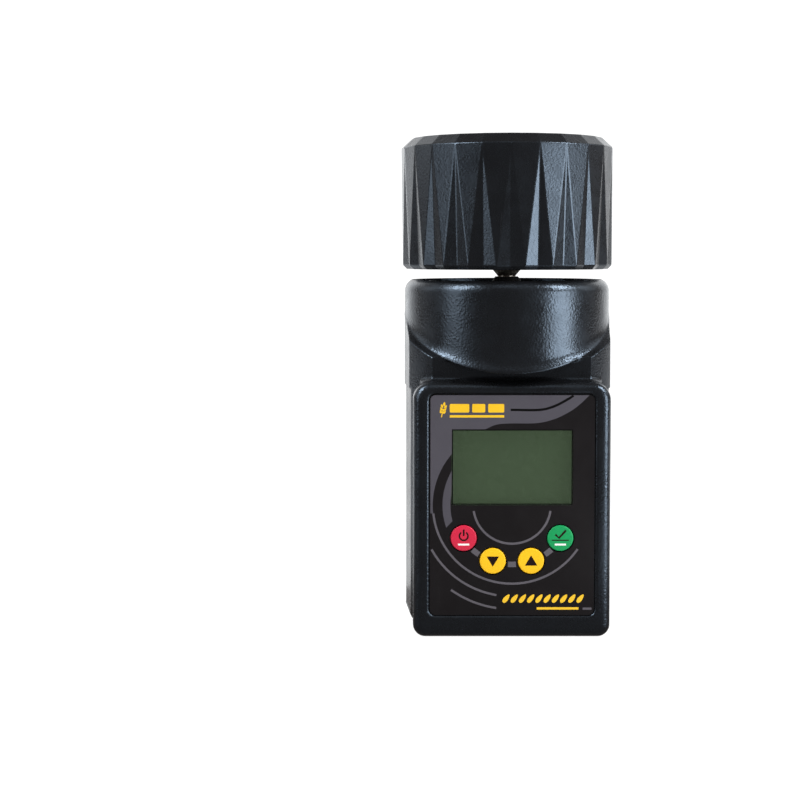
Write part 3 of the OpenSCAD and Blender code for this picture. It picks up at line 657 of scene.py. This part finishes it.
def build_cap():
    """The fluted cap: tapering triangular grooves outside, stepped bores inside."""
    top_z, foot_z = KNOB_HIGH[2], KNOB_LOW[2]
    step = math.tau / FLUTES
    tip = KNOB_R * math.cos(step / 2)
    groove = KNOB_R - FLUTE_DEPTH

    def at(r, i, z):
        turn = step * i - math.pi / 2 + KNOB_TURN
        return (r * math.cos(turn), r * math.sin(turn), z)

    n, m = FLUTES, 2 * FLUTES
    circle = 4 * FLUTES
    top = [at(KNOB_R - BEVEL_W, k, top_z) for k in range(n)]
    rim = [at(KNOB_R, k, top_z - BEVEL_H) for k in range(n)]
    low = [at(tip if j % 2 else groove, j / 2, foot_z + FOOT_BEVEL) for j in range(m)]
    foot = [at((tip if j % 2 else groove) - FOOT_BEVEL, j / 2, foot_z) for j in range(m)]
    crown_z, boss_z = top_z - CROWN_T, foot_z + 2.4
    rounds = [(WALL_R, foot_z), (WALL_R, crown_z), (BOSS_R, crown_z), (BOSS_R, boss_z)]
    rounds += [(SPINDLE_R, boss_z), (SPINDLE_R, top_z - DISC_T), (DISC_R, top_z - DISC_T), (DISC_R, top_z)]
    points = top + rim + low + foot
    starts = []
    for r, z in rounds:
        starts.append(len(points))
        points += [at(r, j / 4, z) for j in range(circle)]
    faces = []
    for k in range(n):
        k1 = (k + 1) % n
        mid, far = 2 * n + 2 * k + 1, 2 * n + (2 * k + 2) % m
        faces += [[k, n + k, n + k1, k1], [n + k, mid, n + k1]]
        faces += [[n + k, 2 * n + 2 * k, mid], [n + k1, mid, far]]
        faces.append([k, k1] + [starts[-1] + (4 * k + s) % circle for s in (4, 3, 2, 1, 0)])
    for j in range(m):
        j1 = (j + 1) % m
        faces.append([2 * n + j, 2 * n + m + j, 2 * n + m + j1, 2 * n + j1])
        faces.append([2 * n + m + j1, 2 * n + m + j] + [starts[0] + (2 * j + s) % circle for s in (0, 1, 2)])
    for a, b in zip(starts, starts[1:]):
        faces += [[a + j, b + j, b + (j + 1) % circle, a + (j + 1) % circle] for j in range(circle)]
    knob = piece("knob", points, faces, "cap", LOOK["knob_plastic"], ["cap_knob"],
                 math.radians(5))
    soft_edges(knob, SOFT_EDGE, 4)


# ---------- keys and printed overlay ----------

PROUD = 0.03                    # how far the prints stand out of the overlay
OVER = 0.008                    # and one print out of another
DISPLAY_EDGE_SHADE = 0.35                   # painted shade: a dark line round the display, for the shade at the window's edge


def slab(outline, y_face, depth=0.05):
    """A thin print: an outline of (x, z) points, its face at y_face."""
    n = len(outline)
    area = sum(outline[i - 1][0] * outline[i][1] - outline[i][0] * outline[i - 1][1] for i in range(n))
    ring = list(outline) if area > 0 else list(outline)[::-1]
    points = [(x, y_face, z) for x, z in ring] + [(x, y_face + depth, z) for x, z in ring]
    faces = [list(range(n)), list(range(2 * n - 1, n - 1, -1))]
    faces += [[i, i + n, (i + 1) % n + n, (i + 1) % n] for i in range(n)]
    return points, faces


def arc_points(centre, r, start, end, gap=0.8):
    """Points on an arc; angles in degrees from straight down, positive to the right."""
    n = max(3, int(abs(math.radians(end - start)) * r / gap))
    turns = [math.radians(start + (end - start) * i / n) for i in range(n + 1)]
    return [(centre[0] + r * math.sin(t), centre[1] - r * math.cos(t)) for t in turns]


def arc_band(r_in, r_out, start, end, centre=(0, ARC_Z)):
    """Outline of a band between two radii."""
    return arc_points(centre, r_in, start, end) + arc_points(centre, r_out, end, start)


def rounded_box(x0, z0, x1, z1, r):
    """Outline of a rectangle with round corners."""
    corners = [((x1 - r, z0 + r), 0, 90), ((x1 - r, z1 - r), 90, 180), ((x0 + r, z1 - r), 180, 270)]
    corners.append(((x0 + r, z0 + r), 270, 360))
    return [p for c, a, b in corners for p in arc_points(c, r, a, b, 0.15)]


def bar(x0, x1, z0, z1):
    """Outline of a plain rectangle."""
    return [(x0, z0), (x1, z0), (x1, z1), (x0, z1)]


def print_piece(name, outlines, look, y_face, body="housing"):
    """A print of one colour on the overlay or on a key."""
    points, faces = joined([slab(outline, y_face) for outline in outlines])
    return piece(name, points, faces, body, LOOK[look], sharp=math.radians(30))


def stroke(line, width):
    """An open line of (x, z) points as an outline of that width."""
    left, right = [], []
    for i, p in enumerate(line):
        a, b = Vector(line[max(i - 1, 0)]), Vector(line[min(i + 1, len(line) - 1)])
        along = (b - a).normalized()
        side = Vector((-along.y, along.x)) * width / 2
        left.append(tuple(Vector(p) + side))
        right.append(tuple(Vector(p) - side))
    return left + right[::-1]


def through(points, n=6):
    """A smooth line through some points."""
    line = []
    p = [np.array(q, float) for q in points]
    p = [2 * p[0] - p[1]] + p + [2 * p[-1] - p[-2]]
    for i in range(1, len(p) - 2):
        for k in range(n):
            t = k / n
            line.append(tuple(0.5 * (2 * p[i] + (p[i + 1] - p[i - 1]) * t
                              + (2 * p[i - 1] - 5 * p[i] + 4 * p[i + 1] - p[i + 2]) * t * t
                              + (3 * p[i] - p[i - 1] - 3 * p[i + 1] + p[i + 2]) * t ** 3)))
    return line + [tuple(p[-2])]


def grain_shape(x, z, length, width, turn):
    """A pointed seed outline; turn in degrees from upright, positive to the right."""
    a = math.radians(turn)
    outline = []
    for k in range(20):
        t = math.tau * k / 20
        u = length / 2 * math.cos(t)
        v = width / 2 * math.sin(t) * (1 - 0.28 * math.cos(t))
        outline.append((x + u * math.sin(a) + v * math.cos(a), z + u * math.cos(a) - v * math.sin(a)))
    return outline


def grain_ear(x, z, height, lean=0):
    """Seeds in pairs along a stalk."""
    a = math.radians(lean)
    along = lambda t: (x + height * t * math.sin(a), z + height * t * math.cos(a))
    outlines = [stroke([along(0), along(0.55)], height * 0.06)]
    outlines.append(grain_shape(*along(0.88), height * 0.26, height * 0.15, lean))
    for row in (0.36, 0.54, 0.72):
        for side in (-1, 1):
            px, pz = along(row)
            shift = side * height * 0.12
            outlines.append(grain_shape(px + shift * math.cos(a), pz - shift * math.sin(a), height * 0.25,
                                        height * 0.14, lean + side * 28))
    return outlines


def angle_at(x, r):
    """Angle, for arc_points, of the upper place where an arc of radius r meets x on the left."""
    return -math.degrees(math.acos(-math.sqrt(1 - (x / r) ** 2)))


def label_field():
    """Grey area in the label's upper left corner, ending in a sliver along the left edge."""
    left, right = OVERLAY_LOW[0] + 0.2, DISPLAY_X[0] - DISPLAY_EDGE_SHADE
    top, sill = OVERLAY_HIGH[2] - 0.15, DISPLAY_Z[1] + 0.4
    wave = through([(-9.2, sill), (-5.3, 72.9), (-0.2, 73.3), (8.3, 73.4), (14.3, 74.8), (19.4, 77.3),
                    (22.8, 79.8), (26.0, top)])
    start = angle_at(right, FIELD_R)
    edge = arc_points((0, ARC_Z), FIELD_R, start, -84)
    corner = rounded_box(left, top - 6, left + 6, top, 1.6)
    corner = [p for p in corner if p[0] < left + 1.6 and p[1] > top - 1.6]
    return wave + corner + [(left, edge[-1][1])] + edge[::-1] + [(right, sill)]


def crescent():
    """Short grey band between the display and the red key."""
    side = DISPLAY_X[0] - DISPLAY_EDGE_SHADE
    inner_r, outer_r = CRESCENT_R
    outer = arc_points((0, ARC_Z), outer_r, angle_at(side, outer_r), -71)
    inner = arc_points((0, ARC_Z), inner_r, -75, -100)
    return outer + [p for p in inner if p[0] < side or p[1] < DISPLAY_Z[0]]


def build_label():
    """Grey fields, arcs, the painted shade round the display and the generic yellow marks."""
    face = FACE_Y - PROUD
    line = 0.75
    lines = [arc_band(r - line / 2, r + line / 2, a, b) for r, a, b in (
        (13.15, -81.5, 81.5), (26.85, -84, 56), (31.2, -61, -9.6), (35.6, -35.5, -8.5))]
    lines.append(bar(24.1, 27.1, 9.65, 10.4))
    lines += [arc_band(19.3, 21.2, a - 3.9, a + 3.9) for a in (-37.5, 0, 37.5)]
    print_piece("label_field", [label_field(), crescent()], "print_grey", face)
    print_piece("label_lines", lines, "print_line", face - OVER)
    curve = stroke(through([(-0.6, 77.9), (9.2, 77.9), (14.3, 79.2), (18.5, 81.4), (20.6, 82.7)]), 0.8)
    x0, x1, z0, z1 = *DISPLAY_X, *DISPLAY_Z
    # painted shade: dark bars round the display stand in for the shade where the window sits back from the
    # overlay
    low, high = z0 - DISPLAY_EDGE_SHADE, z1 + DISPLAY_EDGE_SHADE
    edge_shade = [bar(x0 - DISPLAY_EDGE_SHADE, x0, low, high), bar(x1, x1 + DISPLAY_EDGE_SHADE, low, high)]
    edge_shade += [bar(x0, x1, low, z0), bar(x0, x1, z1, high)]
    print_piece("label_curve_and_edge_shade", [curve] + edge_shade, "black_print_and_shade", face - 1.5 * OVER)
    marks = grain_ear(-24.0, 75.4, 5.2, 12)
    marks += [rounded_box(a, 77.0, b, 79.9, 0.35) for a, b in ((-21.2, -14.6), (-13.6, -9.2), (-8.2, -2.8))]
    marks.append(bar(-21.2, -2.8, 75.3, 76.1))
    marks += [grain_shape(-1.9 + 2.8 * i, 13.5, 3.5, 1.5, 38) for i in range(10)]
    marks.append(bar(8.5, 22.7, 9.7, 10.5))
    print_piece("label_marks", marks, "print_yellow", face - 1.5 * OVER)


def key_icons(node):
    """Outlines of dark and of light prints for a key, about its centre."""
    caption = bar(-1.9, 1.9, -2.45, -1.85)
    if node == "key_esc":
        ring = arc_band(1.25, 1.75, 215, 505, (0, 0.75))
        return [ring, bar(-0.27, 0.27, 0.75, 3.0)], [caption]
    if node == "key_ok":
        tick = stroke([(-1.7, 1.3), (-0.5, 0.1), (1.9, 2.7)], 0.7)
        return [tick, bar(-2.9, 2.9, -0.85, -0.5)], [caption]
    point = -1 if node == "key_down" else 1
    return [[(-2.1, -1.55 * point), (2.1, -1.55 * point), (0, 1.95 * point)]], []


KEY_FLANGE = 31.6               # how far forward the keys' flanges reach
KEYS = (("key_esc", "esc_key", "red_key"), ("key_down", "down_key", "yellow_key"),
        ("key_up", "up_key", "yellow_key"), ("key_ok", "ok_key", "green_key"))


def key_profile(back, face):
    """Radius and height of a key: its post, the flange behind the shell, the cap."""
    rim = KEY_R + 1.1
    return smooth_corners([
        (0, back, 0), (1.4, back, 0.2), (1.4, KEY_FLANGE - 0.8, 0.2), (rim, KEY_FLANGE - 0.8, 0.1),
        (rim, KEY_FLANGE - 0.1, 0.1), (KEY_R, KEY_FLANGE - 0.1, 0.05), (KEY_R, face - 0.06, 0.45),
        (KEY_R * 0.6, face - 0.03, 0), (0, face - 0.03, 0)])


def build_keys():
    """The four keys and the prints on them."""
    for node, body, look in KEYS:
        low, high = box_mm(node)
        x, z = ((low + high) / 2)[[0, 2]]
        points, faces = lathe(key_profile(-high[1], -low[1]), 72)
        piece("cap_" + node, facing_front(points, x, z), faces, body, LOOK[look], [node],
              math.radians(50))
        dark, light = key_icons(node)
        for kind, outlines, colour in (("dark", dark, "print_brown"), ("light", light, "print_white")):
            if outlines:
                placed = [[(x + u, z + v) for u, v in outline] for outline in outlines]
                print_piece(node + "_" + kind, placed, colour, low[1] + 0.002, body)


# ---------- light, stage and camera ----------

TABLE_FRONT = -0.27             # the sweep's line, in metres from the object
REAR_EDGE = 0.05                # the table mirrors in nothing up to here, like a shaded set
CURVE_START = 0.55
CURVE_R = 0.35
WALL_TOP = 1.5
SWEEP_HALF = 1.1
SWEEP_GLOW = 0.90


def from_object(azimuth, elevation, distance, aim=(0, 0, 0.085)):
    """A place round the object: azimuth 0 is in front, positive to the right."""
    a, e = math.radians(azimuth), math.radians(elevation)
    away = Vector((math.sin(a) * math.cos(e), -math.cos(a) * math.cos(e), math.sin(e)))
    return Vector(aim) + away * distance, away


def softbox(name, azimuth, elevation, distance, width, height, radiance, colour):
    """A rectangular light that faces the object and isn't seen by the camera itself."""
    light = bpy.data.lights.new(name, "AREA")
    light.shape = "RECTANGLE"
    light.size = width
    light.size_y = height
    light.energy = radiance * math.pi * width * height
    light.color = colour
    made = bpy.data.objects.new(name, light)
    scene.collection.objects.link(made)
    made.location, away = from_object(azimuth, elevation, distance)
    made.rotation_euler = away.to_track_quat("Z", "Y").to_euler()
    made.visible_camera = False
    return made


def build_stage():
    """A white sweep: a table, then a curve up to a wall."""
    look = bpy.data.materials.new("sweep")
    look.use_nodes = True
    tree = look.node_tree
    shader = tree.nodes["Principled BSDF"]
    place = add(tree, "ShaderNodeTexCoord").outputs["Object"]
    shade = remap(tree, noise(tree, place, 3, 2), 0.3, 0.7, 0.985, 1.0)
    tone = add(tree, "ShaderNodeVectorMath", operation="SCALE")
    tone.inputs[0].default_value = (0.25, 0.25, 0.25)
    tree.links.new(shade, tone.inputs["Scale"])
    tree.links.new(tone.outputs[0], shader.inputs["Base Color"])
    shader.inputs["Roughness"].default_value = 0.9
    shader.inputs["Specular IOR Level"].default_value = 0.0
    shader.inputs["Emission Color"].default_value = (1, 1, 1, 1)
    shader.inputs["Emission Strength"].default_value = SWEEP_GLOW
    turns = np.linspace(0, math.pi / 2, 25)
    curve = [(CURVE_START + CURVE_R * math.sin(t), CURVE_R - CURVE_R * math.cos(t)) for t in turns]
    table = strip("sweep_table", [(TABLE_FRONT, 0), (REAR_EDGE, 0)], look)
    table.visible_glossy = False
    strip("sweep_backdrop", [(REAR_EDGE, 0)] + curve + [(CURVE_START + CURVE_R, WALL_TOP)], look)


def strip(name, line, look):
    """A wide strip of the sweep along a line in y and z, in metres."""
    points = [(x / MM, y / MM, z / MM) for y, z in line for x in (-SWEEP_HALF, SWEEP_HALF)]
    faces = [[2 * i, 2 * i + 1, 2 * i + 3, 2 * i + 2] for i in range(len(line) - 1)]
    return piece(name, points, faces, None, look)


COOL = (0.95, 0.98, 1.0)
BOX_DISTANCE = 0.75
BOX_HEIGHT = 0.33
DIM_ROOM = (0.150, 0.128, 0.115, 1)
SOFTBOXES = (                   # azimuth, elevation (degrees), width (m), radiance
    (59, 2, 0.34, 11.0), (68, 40, 0.18, 26.0), (100, 25, 0.26, 1.4),
    (-62, 10, 0.26, 3.6), (-65, 40, 0.18, 25.0), (-95, 50, 0.22, 0.6),
    (-105, 20, 0.26, 1.2), (0, 60, 0.26, 0.8),
)


def floor_panel(name, azimuth, distance, side, radiance):
    """A bright patch of table beside the object, as a light lying on the floor."""
    made = softbox(name, azimuth, 0, distance, side, side, radiance, COOL)
    made.location.z = 0.003
    made.rotation_euler = (math.pi, 0, -math.radians(azimuth))
    return made


def build_lights():
    """A broad low box at the right, a strong high strip on each side, and weak fill from elsewhere."""
    for azimuth, elevation, width, radiance in SOFTBOXES:
        name = "softbox_%d_%d" % (azimuth % 360, elevation)
        softbox(name, azimuth, elevation, BOX_DISTANCE, width, BOX_HEIGHT, radiance, COOL)
    softbox("behind_left", -150, 5, BOX_DISTANCE, 0.35, 0.60, 1.0, COOL)
    softbox("behind_right", 150, 5, BOX_DISTANCE, 0.35, 0.60, 0.6, COOL)
    floor_panel("right_floor", 45, 0.19, 0.15, 1.9)
    world = bpy.data.worlds.new("dim_room")
    world.use_nodes = True
    world.node_tree.nodes["Background"].inputs["Color"].default_value = DIM_ROOM
    scene.world = world
    scene.view_settings.view_transform = "Standard"


CAMERA_AT = (-0.038, -0.5948, 0.132)
CAMERA_TILT = math.radians(3.33)


def build_camera():
    """Slightly left of the meter and above its middle, looking down a little."""
    lens = bpy.data.cameras.new("camera")
    lens.sensor_width = 36
    lens.lens = 75.0
    lens.shift_y = -0.067
    lens.clip_start = 0.01
    made = bpy.data.objects.new("camera", lens)
    scene.collection.objects.link(made)
    made.location = CAMERA_AT
    made.rotation_euler = (math.pi / 2 - CAMERA_TILT, 0, 0)
    scene.camera = made


def main():
    finish_cad_nodes()
    build_housing()
    build_cap()
    build_keys()
    build_label()
    build_stage()
    build_lights()
    build_camera()


main()
